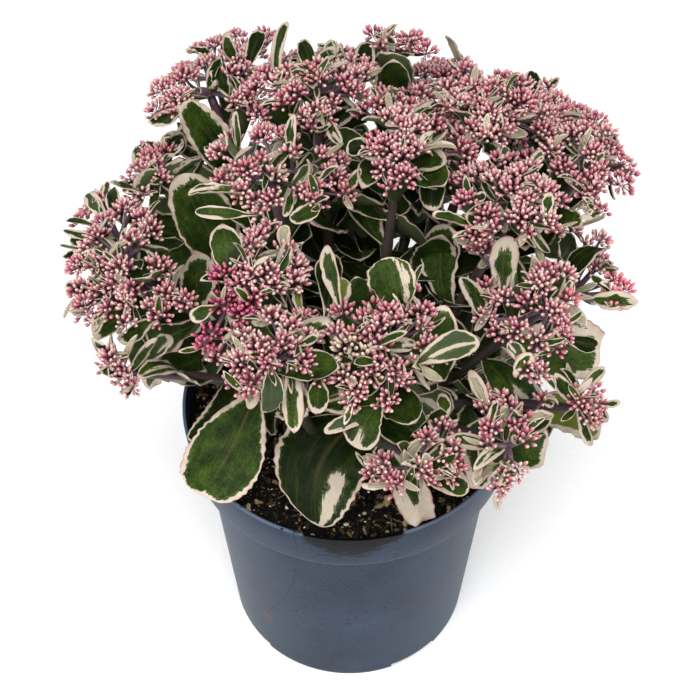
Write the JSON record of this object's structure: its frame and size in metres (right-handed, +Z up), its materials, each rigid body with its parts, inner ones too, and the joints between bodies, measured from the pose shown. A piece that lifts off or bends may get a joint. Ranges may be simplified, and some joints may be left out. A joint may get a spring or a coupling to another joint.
{
  "type": "potted variegated stonecrop",
  "caption": "Clump-forming stonecrop in bud: domed pink-cream flower heads and cream-edged fleshy leaves on thick stems, growing in a round black nursery pot with a collar.",
  "frame": {"origin": "middle of the pot's base, on the surface the pot stands on", "axes": "+Z up along the pot's axis; -Y is the side of the plant seen from the front"},
  "size_m": [0.3064, 0.2962, 0.3743],
  "materials": {
    "pot_plastic": "black nursery pot plastic with a satin sheen that reads blue-grey in daylight",
    "compost": "damp peat and bark compost, nearly black, rough",
    "stem_skin": "smooth mauve-purple stem skin, slightly waxy",
    "buds": "closed flower buds, cream at the tip and pink to magenta at the foot",
    "leaf": "fleshy leaf skin, green in the middle with a feathered cream-pink margin, satin"
  },
  "bodies": {
    "root": {"pot": "pot_plastic", "compost": "compost", "stem_back_left": "stem_skin", "stem_back": "stem_skin", "stem_far_back": "stem_skin", "stem_crown": "stem_skin", "stem_right_back": "stem_skin", "stem_far_right": "stem_skin", "stem_right": "stem_skin", "stem_right_front": "stem_skin", "stem_left_back": "stem_skin", "stem_left": "stem_skin", "stem_left_front": "stem_skin", "stem_mid_left": "stem_skin", "stem_front_left_inner": "stem_skin", "stem_front_left": "stem_skin", "stem_front_right": "stem_skin", "stem_low_front": "stem_skin", "stem_low_right": "stem_skin", "stem_right_spur": "stem_skin", "stem_rear_right": "stem_skin", "stem_rear": "stem_skin", "stem_rear_left": "stem_skin", "flower_head_back_left": "buds", "flower_head_back": "buds", "flower_head_far_back": "buds", "flower_head_crown": "buds", "flower_head_right_back": "buds", "flower_head_far_right": "buds", "flower_head_right": "buds", "flower_head_right_front": "buds", "flower_head_left_back": "buds", "flower_head_left": "buds", "flower_head_left_front": "buds", "flower_head_mid_left": "buds", "flower_head_front_left_inner": "buds", "flower_head_front_left": "buds", "flower_head_front_right": "buds", "flower_head_low_front": "buds", "flower_head_low_right": "buds", "flower_head_right_spur": "buds", "flower_head_rear_right": "buds", "flower_head_rear": "buds", "flower_head_rear_left": "buds", "leaf_front_left": "leaf", "leaf_front_centre": "leaf", "leaf_front_right": "leaf", "leaf_low_left": "leaf", "leaf_low_left_under": "leaf", "leaf_left_tall": "leaf", "leaf_left_round": "leaf", "leaf_top_left": "leaf", "leaf_top_centre": "leaf", "leaf_middle_spear": "leaf", "leaf_middle_tall": "leaf", "leaf_middle_dark": "leaf", "leaf_middle_right": "leaf", "leaf_far_right": "leaf", "leaf_low_right": "leaf", "leaf_spur": "leaf"}
  },
  "joints": []
}
